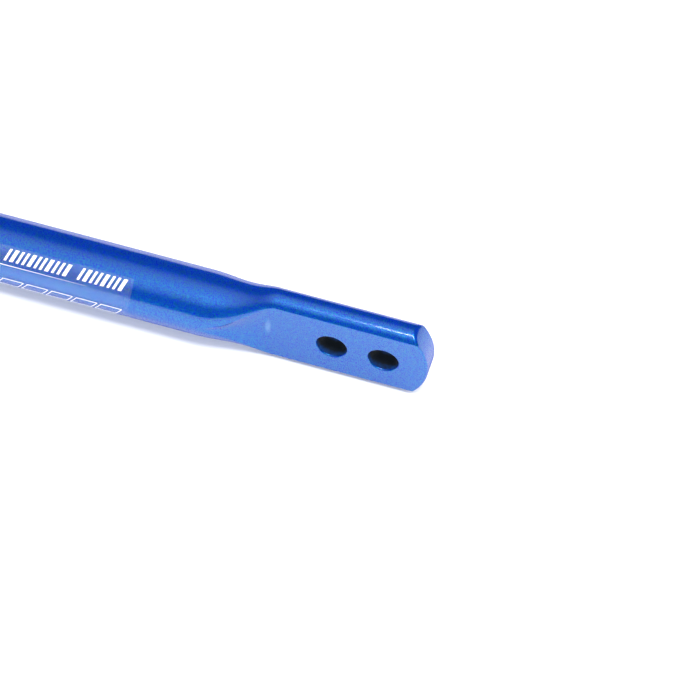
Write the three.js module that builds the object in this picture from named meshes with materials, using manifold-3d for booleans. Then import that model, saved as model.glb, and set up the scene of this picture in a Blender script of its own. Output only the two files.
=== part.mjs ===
// A vehicle sway bar (anti-roll bar) with its two body mounts and its two lock collars.
//
// Frame: +X along the centre section, +Y towards the front, +Z up, millimetres. The origin is on the
// surface that the assembly lies on, under the middle of its bounding box. Both saddles' feet, both
// bushes' bases and the lower edges of both blades lie in the plane z = 0.
//
// Everything is built in a group whose own origin is on the bar's turning axis, at mid-span.

import * as THREE from "three";
import { mergeVertices } from "three/addons/utils/BufferGeometryUtils.js";
import Module from "manifold-3d";

const wasm = await Module();
wasm.setup();

// Bar: a hollow tube whose two ends are pressed flat into blades for the end links.
const tubeRadius = 13;
const wallThickness = 5;
const bladeThickness = 10.2;
const bladeWidth = 35.75;
const bladeEdgeRadius = 5.75;
const bladeLength = 61;
const neckLength = 29;
const neckSteps = 10;
const seamGap = 0.4;
const tipRadius = 26;
const tipOvershoot = 2;
const linkHoleRadius = 6;
const linkHoleChamfer = 0.7;
const linkHolesFromTip = [17.6, 38];

// Bar's route: a straight centre section, a shoulder bend, a short straight, then the arm.
const centreHalfLength = 370;
const bendRadius = 70;
const bendStep = 7.5;
const shoulderBend = 30;
const shoulderLength = 60;
const armBend = 60;
const armLength = 225;

// Body mounts: a split polyurethane bush in a bent steel saddle, with a grease nipple on top.
const mountSpacing = 600;
const bushLength = 40;
const bushWaistRadius = 22;
const bushShoulderRadius = 25;
const bushRunningGap = 0.3;
const bushSlit = 0.5;
const grooveDepth = 1;
const grooveWidth = 2.5;
const groovePlaces = [-11, 0, 11];
const saddleWidth = 32;
const saddleThickness = 4;
const saddleBend = 3;
const footReach = 53;
const footCornerRadius = 8;
const boltHoleRadius = 5.5;
const boltHoleReach = 41;
const boltSlotTravel = 4;
const fitGap = 0.3;

// Grease nipple.
const nippleShankRadius = 2.85;
const nippleShankDepth = 2.5;
const nippleHexWidth = 8;
const nippleHexHeight = 3;
const nippleNeckRadius = 2.2;
const nippleHeadRadius = 3.2;
const nippleHeadHeight = 6.7;
const greasePassageRadius = 0.8;

// Lock collars: two halves clamped round the bar by two M6 cap screws on spring washers.
const collarWidth = 12;
const collarRadius = 17.5;
const collarBoreRadius = 13.35;
const collarSplitHalf = 0.6;
const collarEarReach = 26;
const collarEarHalfHeight = 7.5;
const screwReach = 19.5;
const screwHoleRadius = 3.25;
const screwSeatRadius = 5.8;
const screwShankRadius = 2.95;
const screwLength = 16;
const screwHeadRadius = 5;
const screwHeadHeight = 6;
const screwSocketWidth = 5;
const screwSocketDepth = 3;
const screwPointChamfer = 0.5;
const washerInnerRadius = 3.1;
const washerOuterRadius = 4.95;
const washerThickness = 1.6;
const washerSplit = 0.6;
const seatGap = 0.1;

// Label: a clear film that wraps part of the way round the left arm, on its outer upper side.
const labelFromTip = 116;
const labelLength = 100;
const labelLowest = -26;
const labelHighest = 62;
const labelThickness = 0.3;
const labelStandoff = 0.25;

const roundSides = 24;
const archSteps = 16;
const bendSteps = 4;

const bladeHalfThickness = bladeThickness / 2;
const bladeHalfWidth = bladeWidth / 2;
const axisHeight = bladeHalfWidth;
const armReach = bendRadius + shoulderLength * Math.sin(radians(shoulderBend)) + armLength;
const axisForward = (armReach - footReach) / 2;
const armX =
  centreHalfLength + bendRadius + shoulderLength * Math.cos(radians(shoulderBend));
const bushBoreRadius = (tubeRadius + bushRunningGap) / Math.cos(Math.PI / roundSides);

const finishes = {
  bluePaint: { color: 0x1f63c8, roughness: 0.25, metalness: 0.6 },
  polyurethane: { color: 0x17181a, roughness: 0.55, metalness: 0 },
  zincSteel: { color: 0xa9adb0, roughness: 0.4, metalness: 1 },
  blackSteel: { color: 0x2a2b2d, roughness: 0.45, metalness: 0.8 },
  aluminium: { color: 0xbfc3c8, roughness: 0.35, metalness: 1 },
  labelFilm: { color: 0xdfe9f5, roughness: 0.2, metalness: 0 },
};

function radians(degrees) {
  return (degrees * Math.PI) / 180;
}

function smoothStep(t) {
  return t * t * (3 - 2 * t);
}

// A closed solid from a geometry: shared corners merged, and triangles with no area left out.
function solidFrom(geometry) {
  const plain = geometry.clone();
  plain.deleteAttribute("normal");
  plain.deleteAttribute("uv");
  const merged = mergeVertices(plain, 1e-4);
  const corners = merged.index.array;
  const kept = [];
  for (let i = 0; i < corners.length; i += 3) {
    const [a, b, c] = [corners[i], corners[i + 1], corners[i + 2]];
    if (a !== b && b !== c && c !== a) {
      kept.push(a, b, c);
    }
  }
  const vertProperties = new Float32Array(merged.attributes.position.array);
  return new wasm.Manifold(
    new wasm.Mesh({ numProp: 3, vertProperties, triVerts: new Uint32Array(kept) }),
  );
}

function geometryFrom(solid) {
  const mesh = solid.getMesh();
  const geometry = new THREE.BufferGeometry();
  geometry.setAttribute("position", new THREE.BufferAttribute(mesh.vertProperties, 3));
  geometry.setIndex(new THREE.BufferAttribute(mesh.triVerts, 1));
  geometry.computeVertexNormals();
  return geometry;
}

function subtractAll(solid, cutters) {
  return cutters.reduce((rest, cutter) => rest.subtract(cutter), solid);
}

// Points along an arc, both ends included. Angles are in degrees.
function arc(centreU, centreV, radius, from, to, steps) {
  const points = [];
  for (let i = 0; i <= steps; i += 1) {
    const angle = radians(from + ((to - from) * i) / steps);
    points.push(
      new THREE.Vector2(
        centreU + radius * Math.cos(angle),
        centreV + radius * Math.sin(angle),
      ),
    );
  }
  return points;
}

// A side-view outline (forward, up) made into a solid that is centred on x = 0.
function acrossX(outline, length) {
  const geometry = new THREE.ExtrudeGeometry(new THREE.Shape(outline), {
    depth: length,
    bevelEnabled: false,
  });
  geometry.translate(0, 0, -length / 2);
  const forward = new THREE.Vector3(0, 1, 0);
  const up = new THREE.Vector3(0, 0, 1);
  const right = new THREE.Vector3(1, 0, 0);
  geometry.applyMatrix4(new THREE.Matrix4().makeBasis(forward, up, right));
  return solidFrom(geometry);
}

// Solids of revolution and round or hexagonal bars, about X or about Z.
function turned(profile, axis) {
  const points = profile.map(([radius, along]) => new THREE.Vector2(radius, along));
  const geometry = new THREE.LatheGeometry(points, roundSides);
  if (axis === "x") {
    geometry.rotateZ(-Math.PI / 2);
  } else {
    geometry.rotateX(Math.PI / 2);
  }
  return solidFrom(geometry);
}

function roundBar(radius, from, to, axis) {
  return turned(
    [
      [0, from],
      [radius, from],
      [radius, to],
      [0, to],
    ],
    axis,
  );
}

function hexBar(acrossFlats, from, to) {
  const radius = acrossFlats / Math.sqrt(3);
  const geometry = new THREE.CylinderGeometry(radius, radius, to - from, 6);
  geometry.rotateX(Math.PI / 2);
  geometry.translate(0, 0, (from + to) / 2);
  return solidFrom(geometry);
}

function block(sizeX, sizeY, sizeZ, x, y, z) {
  const geometry = new THREE.BoxGeometry(sizeX, sizeY, sizeZ);
  geometry.translate(x, y, z);
  return solidFrom(geometry);
}

// One section of the bar or of its cavity: two round edges joined by two flats. An edge radius
// larger than the half thickness leaves a crease where each edge meets a flat.
function section(halfThickness, halfWidth, edgeRadius) {
  const crease = Math.asin(Math.min(halfThickness / edgeRadius, 1));
  const edgeCentre = halfWidth - edgeRadius;
  const steps = roundSides / 2;
  const points = [];
  for (const end of [1, -1]) {
    for (let i = 0; i <= steps; i += 1) {
      const angle = crease * (1 - (2 * i) / steps);
      const across = edgeRadius * Math.sin(angle);
      points.push([end * across, end * (edgeCentre + edgeRadius * Math.cos(angle))]);
    }
  }
  return points;
}

// Half thickness and half width, outside and inside, at a distance from the tip. The thickness
// falls early in the neck and the width grows late, which leaves a waist just before the blade.
function sectionsAt(fromTip) {
  const along = (bladeLength + neckLength - fromTip) / neckLength;
  const pressed = Math.min(Math.max(along, 0), 1);
  const thinning = smoothStep(pressed);
  const widening = smoothStep(pressed * pressed);
  const mix = THREE.MathUtils.lerp;
  const outer = section(
    mix(tubeRadius, bladeHalfThickness, thinning),
    mix(tubeRadius, bladeHalfWidth, widening),
    mix(tubeRadius, bladeEdgeRadius, thinning),
  );
  const innerHalf = mix(tubeRadius - wallThickness, seamGap / 2, thinning);
  const innerWidth = mix(tubeRadius - wallThickness, bladeHalfWidth - wallThickness, widening);
  return { outer, inner: section(innerHalf, innerWidth, innerHalf) };
}

// Stations along the right half of the centreline, from mid-span to just past the tip.
function rightHalfStations() {
  const stations = [];
  let x = 0;
  let y = 0;
  let turn = 0;

  function mark(fromTip) {
    stations.push({ x, y, turn, fromTip });
  }
  function goStraight(length) {
    x += length * Math.cos(radians(turn));
    y -= length * Math.sin(radians(turn));
  }
  function goRound(angle) {
    const steps = Math.round(angle / bendStep);
    for (let i = 0; i < steps; i += 1) {
      const next = turn + angle / steps;
      x += bendRadius * (Math.sin(radians(next)) - Math.sin(radians(turn)));
      y -= bendRadius * (Math.cos(radians(turn)) - Math.cos(radians(next)));
      turn = next;
      mark(Infinity);
    }
  }

  goStraight(centreHalfLength);
  mark(Infinity);
  goRound(shoulderBend);
  goStraight(shoulderLength);
  mark(Infinity);
  goRound(armBend);
  goStraight(armLength - bladeLength - neckLength);
  for (let i = 0; i <= neckSteps; i += 1) {
    mark(bladeLength + neckLength * (1 - i / neckSteps));
    goStraight(neckLength / neckSteps);
  }
  goStraight(bladeLength + tipOvershoot - neckLength / neckSteps);
  mark(-tipOvershoot);
  return stations;
}

// The bar's closed skin: an outer and an inner surface swept along the route and joined in a ring
// of faces at each tip. The cavity runs out through the tips as a fine seam.
function sweptBar() {
  const right = rightHalfStations();
  const left = right.map((s) => ({ ...s, x: -s.x, turn: -s.turn })).reverse();
  const stations = [...left, ...right];
  const positions = [];
  for (const { x, y, turn, fromTip } of stations) {
    const { outer, inner } = sectionsAt(fromTip);
    for (const [across, up] of [...outer, ...inner]) {
      positions.push(x + across * Math.sin(radians(turn)), y + across * Math.cos(radians(turn)), up);
    }
  }

  const triangles = [];
  const corners = roundSides + 2;
  const ring = 2 * corners;
  function face(a, b, c, d) {
    triangles.push(a, b, c, a, c, d);
  }
  for (let s = 0; s < stations.length - 1; s += 1) {
    for (let i = 0; i < corners; i += 1) {
      const next = (i + 1) % corners;
      const here = s * ring;
      const beyond = here + ring;
      face(here + i, here + next, beyond + next, beyond + i);
      const [innerHere, innerBeyond] = [here + corners, beyond + corners];
      face(innerHere + next, innerHere + i, innerBeyond + i, innerBeyond + next);
    }
  }
  const last = (stations.length - 1) * ring;
  for (let i = 0; i < corners; i += 1) {
    const next = (i + 1) % corners;
    face(next, i, corners + i, corners + next);
    face(last + i, last + next, last + corners + next, last + corners + i);
  }

  const geometry = new THREE.BufferGeometry();
  geometry.setAttribute("position", new THREE.Float32BufferAttribute(positions, 3));
  geometry.setIndex(triangles);
  return solidFrom(geometry);
}

// Cuts both tips to one convex arc.
function tipTrim() {
  const arcCentre = -armReach + tipRadius;
  const outline = [
    ...arc(arcCentre, 0, tipRadius, 90, 270, 2 * archSteps),
    new THREE.Vector2(2 * tubeRadius, -tipRadius),
    new THREE.Vector2(2 * tubeRadius, tipRadius),
  ];
  return acrossX(outline, 2 * (armX + 2 * tubeRadius));
}

// A link hole with a small chamfer at each face of the blade.
function linkHole(side, fromTip) {
  const reach = bladeHalfThickness + 1;
  const mouth = linkHoleRadius + linkHoleChamfer + 1;
  const inside = bladeHalfThickness - linkHoleChamfer;
  const cutter = turned(
    [
      [0, -reach],
      [mouth, -reach],
      [linkHoleRadius, -inside],
      [linkHoleRadius, inside],
      [mouth, reach],
      [0, reach],
    ],
    "x",
  );
  return cutter.translate(side * armX, -armReach + fromTip, 0);
}

function barSolid() {
  const holes = [-1, 1].flatMap((side) =>
    linkHolesFromTip.map((fromTip) => linkHole(side, fromTip)),
  );
  return subtractAll(sweptBar().intersect(tipTrim()), holes);
}

// Bush: arched over the bar and flat underneath, with a waist that the saddle sits in, a slit for
// fitting it over the bar, grease grooves in its bore and a passage down from the nipple.
function bushSolid() {
  const outline = (radius) => [
    new THREE.Vector2(-radius, -axisHeight),
    new THREE.Vector2(radius, -axisHeight),
    ...arc(0, 0, radius, 0, 180, archSteps),
  ];
  const waistLength = saddleWidth + 2 * fitGap;
  const shoulderWidth = (bushLength - waistLength) / 2;
  const shoulderPlace = (bushLength - shoulderWidth) / 2;
  const waist = acrossX(outline(bushWaistRadius), bushLength);
  const shoulder = acrossX(outline(bushShoulderRadius), shoulderWidth);
  const body = waist
    .add(shoulder.translate(shoulderPlace, 0, 0))
    .add(shoulder.translate(-shoulderPlace, 0, 0));

  const halfGroove = grooveWidth / 2;
  const grooveRadius = bushBoreRadius + grooveDepth;
  const grooves = groovePlaces.map((place) =>
    roundBar(grooveRadius, place - halfGroove, place + halfGroove, "x"),
  );
  const nippleEnd = bushWaistRadius - nippleShankDepth - fitGap;
  return subtractAll(body, [
    roundBar(bushBoreRadius, -bushLength, bushLength, "x"),
    ...grooves,
    block(2 * bushLength, bushShoulderRadius, bushSlit, 0, bushShoulderRadius, 0),
    roundBar(nippleShankRadius + fitGap, nippleEnd, 2 * bushWaistRadius, "z"),
    roundBar(2 * greasePassageRadius, tubeRadius, 2 * bushWaistRadius, "z"),
  ]);
}

// Saddle: a strap bent over the bush with two feet, one with a round hole and one with a slot.
function saddleSolid() {
  const inner = bushWaistRadius + fitGap;
  const outer = inner + saddleThickness;
  const footTop = saddleThickness - axisHeight;
  const bendReach = outer + saddleBend;
  const bendHeight = footTop + saddleBend;
  const undersideBend = saddleBend + saddleThickness;
  const outline = [
    new THREE.Vector2(footReach, -axisHeight),
    new THREE.Vector2(footReach, footTop),
    ...arc(bendReach, bendHeight, saddleBend, 270, 180, bendSteps),
    ...arc(0, 0, outer, 0, 180, archSteps),
    ...arc(-bendReach, bendHeight, saddleBend, 0, -90, bendSteps),
    new THREE.Vector2(-footReach, footTop),
    new THREE.Vector2(-footReach, -axisHeight),
    ...arc(-bendReach, bendHeight, undersideBend, -90, 0, bendSteps),
    ...arc(0, 0, inner, 180, 0, archSteps),
    ...arc(bendReach, bendHeight, undersideBend, 180, 270, bendSteps),
  ];

  const cornerX = saddleWidth / 2 - footCornerRadius;
  const cornerY = footReach - footCornerRadius;
  const planOutline = [
    ...arc(cornerX, cornerY, footCornerRadius, 0, 90, bendSteps),
    ...arc(-cornerX, cornerY, footCornerRadius, 90, 180, bendSteps),
    ...arc(-cornerX, -cornerY, footCornerRadius, 180, 270, bendSteps),
    ...arc(cornerX, -cornerY, footCornerRadius, 270, 360, bendSteps),
  ];
  const plan = new THREE.ExtrudeGeometry(new THREE.Shape(planOutline), {
    depth: 4 * axisHeight,
    bevelEnabled: false,
  });
  plan.translate(0, 0, -1.5 * axisHeight);

  const boltHole = roundBar(boltHoleRadius, -2 * axisHeight, 0, "z");
  const slotSides = block(
    2 * boltHoleRadius,
    boltSlotTravel,
    2 * axisHeight,
    0,
    -boltHoleReach,
    -axisHeight,
  );
  return subtractAll(acrossX(outline, saddleWidth).intersect(solidFrom(plan)), [
    boltHole.translate(0, boltHoleReach, 0),
    boltHole.translate(0, -boltHoleReach + boltSlotTravel / 2, 0),
    boltHole.translate(0, -boltHoleReach - boltSlotTravel / 2, 0),
    slotSides,
    roundBar(nippleShankRadius + fitGap, 0, 2 * outer, "z"),
  ]);
}

// Grease nipple: a hexagon on a short shank, with a necked head, drilled right through.
function nippleSolid() {
  const seat = bushWaistRadius + fitGap + saddleThickness + seatGap;
  const hexTop = seat + nippleHexHeight;
  const top = hexTop + nippleHeadHeight;
  const shankEnd = bushWaistRadius - nippleShankDepth;
  const body = turned(
    [
      [0, shankEnd],
      [nippleShankRadius, shankEnd],
      [nippleShankRadius, hexTop],
      [nippleNeckRadius, hexTop + 1],
      [nippleNeckRadius, hexTop + 2],
      [nippleHeadRadius, hexTop + 3.5],
      [nippleHeadRadius, hexTop + 4.7],
      [nippleNeckRadius, top - 0.4],
      [greasePassageRadius, top],
      [0, top],
    ],
    "z",
  );
  return body
    .add(hexBar(nippleHexWidth, seat, hexTop))
    .subtract(roundBar(greasePassageRadius, 0, 2 * top, "z"));
}

// One half of a lock collar, split at the bar's axis. The upper half has seats for the screws.
function collarHalfSolid(hasSeats) {
  const earTopAngle = (Math.asin(collarEarHalfHeight / collarRadius) * 180) / Math.PI;
  const boreAngle = (Math.asin(collarSplitHalf / collarBoreRadius) * 180) / Math.PI;
  const outline = [
    new THREE.Vector2(collarEarReach, collarSplitHalf),
    new THREE.Vector2(collarEarReach, collarEarHalfHeight),
    ...arc(0, 0, collarRadius, earTopAngle, 180 - earTopAngle, archSteps),
    new THREE.Vector2(-collarEarReach, collarEarHalfHeight),
    new THREE.Vector2(-collarEarReach, collarSplitHalf),
    ...arc(0, 0, collarBoreRadius, 180 - boreAngle, boreAngle, archSteps),
  ];
  const cutters = [-screwReach, screwReach].flatMap((place) => {
    const hole = roundBar(screwHoleRadius, -collarRadius, 2 * collarRadius, "z");
    const seat = roundBar(screwSeatRadius, collarEarHalfHeight, 2 * collarRadius, "z");
    const needed = hasSeats ? [hole, seat] : [hole];
    return needed.map((cutter) => cutter.translate(0, place, 0));
  });
  return subtractAll(acrossX(outline, collarWidth), cutters);
}

// M6 socket-head cap screw, with the underside of its head at z = 0.
function screwSolid() {
  const body = turned(
    [
      [0, -screwLength],
      [screwShankRadius - screwPointChamfer, -screwLength],
      [screwShankRadius, screwPointChamfer - screwLength],
      [screwShankRadius, 0],
      [screwHeadRadius, 0],
      [screwHeadRadius, screwHeadHeight - screwPointChamfer],
      [screwHeadRadius - screwPointChamfer, screwHeadHeight],
      [0, screwHeadHeight],
    ],
    "z",
  );
  const socketFloor = screwHeadHeight - screwSocketDepth;
  return body.subtract(hexBar(screwSocketWidth, socketFloor, 2 * screwHeadHeight));
}

// Split spring washer, lying on z = 0.
function washerSolid() {
  const ring = turned(
    [
      [washerInnerRadius, 0],
      [washerOuterRadius, 0],
      [washerOuterRadius, washerThickness],
      [washerInnerRadius, washerThickness],
      [washerInnerRadius, 0],
    ],
    "z",
  );
  return ring.subtract(
    block(2 * washerOuterRadius, washerSplit, 4 * washerThickness, washerOuterRadius, 0, 0),
  );
}

// Label film on the left arm. Its angles start from straight outwards and grow upwards.
function labelSolid() {
  const inner = tubeRadius + labelStandoff;
  const steps = archSteps / 2;
  const outline = [
    ...arc(0, 0, inner + labelThickness, 180 - labelHighest, 180 - labelLowest, steps),
    ...arc(0, 0, inner, 180 - labelLowest, 180 - labelHighest, steps),
  ];
  const geometry = new THREE.ExtrudeGeometry(new THREE.Shape(outline), {
    depth: labelLength,
    bevelEnabled: false,
  });
  geometry.rotateX(Math.PI / 2);
  return solidFrom(geometry);
}

function piece(name, solid, finish) {
  const mesh = new THREE.Mesh(
    geometryFrom(solid),
    new THREE.MeshStandardMaterial({ ...finishes[finish] }),
  );
  mesh.name = name;
  return mesh;
}

function mountGroup(side, place) {
  const mount = new THREE.Group();
  mount.position.x = place;
  mount.add(
    piece(`bush_${side}`, bushSolid(), "polyurethane"),
    piece(`saddle_${side}`, saddleSolid(), "zincSteel"),
    piece(`grease_nipple_${side}`, nippleSolid(), "zincSteel"),
  );
  return mount;
}

function collarGroup(side, place) {
  const collar = new THREE.Group();
  collar.position.x = place;
  const lower = piece(`collar_lower_${side}`, collarHalfSolid(false), "aluminium");
  lower.rotation.x = Math.PI;
  collar.add(piece(`collar_upper_${side}`, collarHalfSolid(true), "aluminium"), lower);
  for (const [end, reach] of [
    ["front", screwReach],
    ["rear", -screwReach],
  ]) {
    const washer = piece(`spring_washer_${side}_${end}`, washerSolid(), "blackSteel");
    washer.position.set(0, reach, collarEarHalfHeight + seatGap);
    const screw = piece(`collar_screw_${side}_${end}`, screwSolid(), "blackSteel");
    const headSeat = collarEarHalfHeight + washerThickness + 2 * seatGap;
    screw.position.set(0, reach, headSeat);
    collar.add(washer, screw);
  }
  return collar;
}

const swayBar = new THREE.Group();
swayBar.position.set(0, axisForward, axisHeight);
swayBar.add(piece("bar", barSolid(), "bluePaint"));

const collarPlace = mountSpacing / 2 + bushLength / 2 + fitGap + collarWidth / 2;
for (const [side, sign] of [
  ["left", -1],
  ["right", 1],
]) {
  swayBar.add(mountGroup(side, (sign * mountSpacing) / 2));
  swayBar.add(collarGroup(side, sign * collarPlace));
}

const label = piece("label_film", labelSolid(), "labelFilm");
label.position.set(-armX, -armReach + labelFromTip + labelLength, 0);
swayBar.add(label);

export default swayBar;
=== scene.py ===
"""Looks for the sway bar: a flake-painted bar with pressed, drilled ends, two bushed saddles, two lock
collars and a printed film label. The unit is the metre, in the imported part's own frame."""
import math

import bmesh
import bpy
from mathutils import Matrix, Vector


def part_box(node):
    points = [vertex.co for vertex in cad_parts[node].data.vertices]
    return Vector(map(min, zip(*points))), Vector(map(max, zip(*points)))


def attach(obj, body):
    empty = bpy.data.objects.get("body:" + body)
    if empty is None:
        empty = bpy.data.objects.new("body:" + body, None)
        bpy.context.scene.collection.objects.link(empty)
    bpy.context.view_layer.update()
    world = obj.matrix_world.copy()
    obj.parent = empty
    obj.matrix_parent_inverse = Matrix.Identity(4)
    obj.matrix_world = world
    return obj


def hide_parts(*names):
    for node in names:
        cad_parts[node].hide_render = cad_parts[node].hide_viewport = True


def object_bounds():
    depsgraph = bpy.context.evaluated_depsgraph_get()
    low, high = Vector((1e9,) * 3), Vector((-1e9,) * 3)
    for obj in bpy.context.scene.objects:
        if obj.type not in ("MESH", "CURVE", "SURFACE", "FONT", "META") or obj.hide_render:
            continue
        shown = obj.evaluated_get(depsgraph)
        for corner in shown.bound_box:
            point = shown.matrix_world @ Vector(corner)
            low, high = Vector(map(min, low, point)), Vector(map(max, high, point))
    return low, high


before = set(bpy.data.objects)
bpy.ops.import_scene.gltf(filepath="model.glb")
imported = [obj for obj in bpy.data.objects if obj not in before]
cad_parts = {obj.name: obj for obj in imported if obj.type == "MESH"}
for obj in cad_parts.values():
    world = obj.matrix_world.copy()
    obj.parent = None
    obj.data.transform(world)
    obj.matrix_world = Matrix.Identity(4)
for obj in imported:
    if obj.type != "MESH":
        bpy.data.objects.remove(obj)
cad_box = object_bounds()

MM = 0.001
SIDES = ("left", "right")

# Driving places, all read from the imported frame.
bar_low, bar_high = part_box("bar")
TUBE_R = 13 * MM
AXIS_Z = (bar_low.z + bar_high.z) / 2
AXIS_Y = bar_high.y - TUBE_R
TIP_Y = bar_low.y
bush_low, bush_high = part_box("bush_left")
bush_length = bush_high.x - bush_low.x
film_low, film_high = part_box("label_film")
film_span = (film_low.y - TIP_Y, film_high.y - TIP_Y)
ARM_X = bar_high.x - TUBE_R

# The bar's route and sections.
CENTRE_HALF = 370 * MM
BEND_R = 70 * MM
SHOULDER_BEND = math.radians(30)
SHOULDER_RUN = 60 * MM
ARM_BEND = math.radians(60)
BEND_STEP = math.radians(2.5)
BLADE_HALF = 5.1 * MM
BLADE_HALF_WIDTH = AXIS_Z
BLADE_EDGE_R = 5.75 * MM
BLADE_LENGTH = 61 * MM
NECK_LENGTH = 29 * MM
NECK_RINGS = 84
NECK_FINAL_SLOPE = 0.25
FLAT_BULGE = 3 * MM
CREASE_R = 0.9 * MM
NECK_CREASE_R = 3 * MM
TIP_R = 26 * MM
TIP_FILLET = 0.9 * MM
HOLE_R = 6 * MM
HOLE_ROUNDING = 0.7 * MM
HOLES_FROM_TIP = (17.6 * MM, 38 * MM)
ARC_STEPS = 64
FLAT_STEPS = 24
FILLET_STEPS = 6
HOLE_STEPS = 64
HOLE_WALL_RINGS = 6
RIDGE_HEIGHT = 0.22 * MM
RIDGE_WIDTH = 0.7 * MM
# A paler, streaked patch in the paint's colour on the outer side of each neck, where the pressing die
# ended.
PALE_PATCH_BACK = 2.2 * MM
PALE_PATCH_UP = 2.5 * MM
PALE_PATCH_REACH = 1.7 * MM
PALE_PATCH_SLIMNESS = 0.28
PALE_PATCH_BLUE = (0.22, 0.4, 0.66)

# The paint. Cells with a random value below the first of FLAKE_SHARES are pigment, above the second flake.
FLAKES_PER_METRE = 6000
FLAKE_TILT = 0.28
FLAKE_SHARES = (0.4, 0.55)
PIGMENT_BLUE = (0.0, 0.016, 0.43)
FLAKE_BLUE = (0.004, 0.22, 0.46)
EDGE_BLUE = (0.02, 0.12, 0.4)

# Bushes and saddles. Both bolt holes are in the feet: the front one is round, the rear one a slot.
BUSH_BORE_R = TUBE_R + 0.3 * MM
BORE_FLARE = 0.8 * MM
WAIST_R = 22 * MM
SHOULDER_R = 25 * MM
SHOULDER_WIDTH = 3.7 * MM
BUSH_ROUNDING = 0.9 * MM
BASE_ROUNDING = 1.5 * MM
SLIT_HALF = 0.25 * MM
BUSH_ARCH_STEPS = 48
BUSH_BASE_STEPS = 24
GROOVE_DEPTH = 1 * MM
GROOVE_HALF = 1.25 * MM
GROOVE_SLOPE = 0.05 * MM
GROOVE_SPACING = 11 * MM
SADDLE_R = WAIST_R + 0.3 * MM
STRAP_HALF = 16 * MM
STRAP_THICKNESS = 4 * MM
STRAP_ROUNDING = 0.7 * MM
STRAP_BEND_R = 5 * MM
FOOT_REACH = 53 * MM
FOOT_CORNER_R = 8 * MM
GUSSET_HEIGHT = 1.5 * MM
GUSSET_WIDTH = 4.4 * MM
GUSSET_RUN = 5 * MM
BOLT_HOLE_R = 5.5 * MM
BOLT_REACH = 41 * MM
SLOT_TRAVEL = 4 * MM
SHANK_HOLE_R = 3.15 * MM
NIPPLE_SHANK_R = 2.85 * MM
NIPPLE_FLATS = 8 * MM
NIPPLE_HEX_HEIGHT = 3 * MM

# Lock collars and their screws.
COLLAR_R = 17.5 * MM
COLLAR_BORE_R = 13.35 * MM
COLLAR_BEVEL = 0.45 * MM
SPLIT_HALF = 0.6 * MM
EAR_REACH = 26 * MM
EAR_HALF_HEIGHT = 7.5 * MM
SCREW_REACH = 19.5 * MM
SCREW_HOLE_R = 3.25 * MM
SCREW_SEAT_R = 5.8 * MM
SCREW_SHANK_R = 2.95 * MM
SCREW_HEAD_R = 5 * MM
SCREW_HEAD_HEIGHT = 6 * MM
HEAD_ROUNDING = 0.7 * MM
SOCKET_WIDTH = 5 * MM
SOCKET_DEPTH = 3 * MM
THREAD_PITCH = 1 * MM
THREAD_DEPTH = 0.45 * MM
THREAD_STEPS = 8
KNURLS = 40
KNURL_DEPTH = 0.13 * MM
WASHER_IN_R = 3.1 * MM
WASHER_OUT_R = 4.95 * MM
WASHER_SPLIT = 0.3 * MM
WASHER_SLANT = math.radians(5)
WASHER_ROUNDING = 0.2 * MM
WASHER_STEPS = 64

# Label film, from its own box, the ink printed on it, and a painted reflection line in the same ink.
FILM_R = TUBE_R + 0.27 * MM
FILM_THICKNESS = 0.06 * MM
FILM_ANGLES = (math.radians(-26), math.radians(62))
WRINKLE_REACH = 3 * MM
WRINKLE_HEIGHT = 0.055 * MM
INK_R = TUBE_R + 0.37 * MM
INK_THICKNESS = 0.03 * MM
BAR_WIDTHS = (1.5 * MM, 1.0 * MM, 1.0 * MM)
BAR_GROUPS = (8, 11, 8, 11)
BAR_GAP = 1.2 * MM
GROUP_GAP = 3.2 * MM
BAR_LEAN = 1.8 * MM
BAR_ANGLES = (math.radians(37), math.radians(58))
# A white line painted on the label where the tube's reflection of the floor begins: a painted reflection.
REFLECTION_LINE_ANGLES = (math.radians(27.5), math.radians(30))
REFLECTION_LINE_POINT = 0.002
OUTLINE_ANGLES = (math.radians(-19), math.radians(1))
OUTLINE_WIDTH = 8.6 * MM
OUTLINE_LINE = 0.34 * MM
OUTLINE_LEAN = 2.6 * MM
OUTLINE_GAP = 1.3 * MM

# Floor, light and camera. CAMERA_BACK points from what the camera looks at to the camera.
FLOOR_HALF = 30
SOFTBOX_SIZE = (0.15, 0.6)
SOFTBOX_WATTS = 7
SOFTBOX_HEIGHT = 1.0
SOFTBOX_OUTWARD = 0.34
SOFTBOX_PAST_TIP = 0.141
ROOM_LIGHT = (1.4, 1.41, 1.43)
GLOW_TOWARDS = Vector((-0.15, 0.14, 0.98)).normalized()
GLOW_REACH = math.radians(52)
GLOW_STRENGTH = 0.9
FLAG_STRENGTH = 0.03
CAMERA_BACK = Vector((-0.563, -0.137, 0.815)).normalized()
CAMERA_ROLL = math.radians(14.9)
LENS = 180
VIEW_WIDTH = 0.2653


# ---------------- mesh helpers

def add_to_scene(name, data):
    """An object for a mesh, a light or a camera."""
    thing = bpy.data.objects.new(name, data)
    bpy.context.scene.collection.objects.link(thing)
    return thing


def add_mesh(name, bm):
    """An object from a bmesh, which is used up."""
    mesh = bpy.data.meshes.new(name)
    bm.to_mesh(mesh)
    bm.free()
    return add_to_scene(name, mesh)


def new_piece(name, bm, body, material, replaced=()):
    """A finished piece from a shaded bmesh: it has its material and rides on its body."""
    piece = add_mesh(name, bm)
    piece.data.materials.append(material)
    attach(piece, body)
    if replaced:
        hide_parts(*replaced)
    return piece


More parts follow.
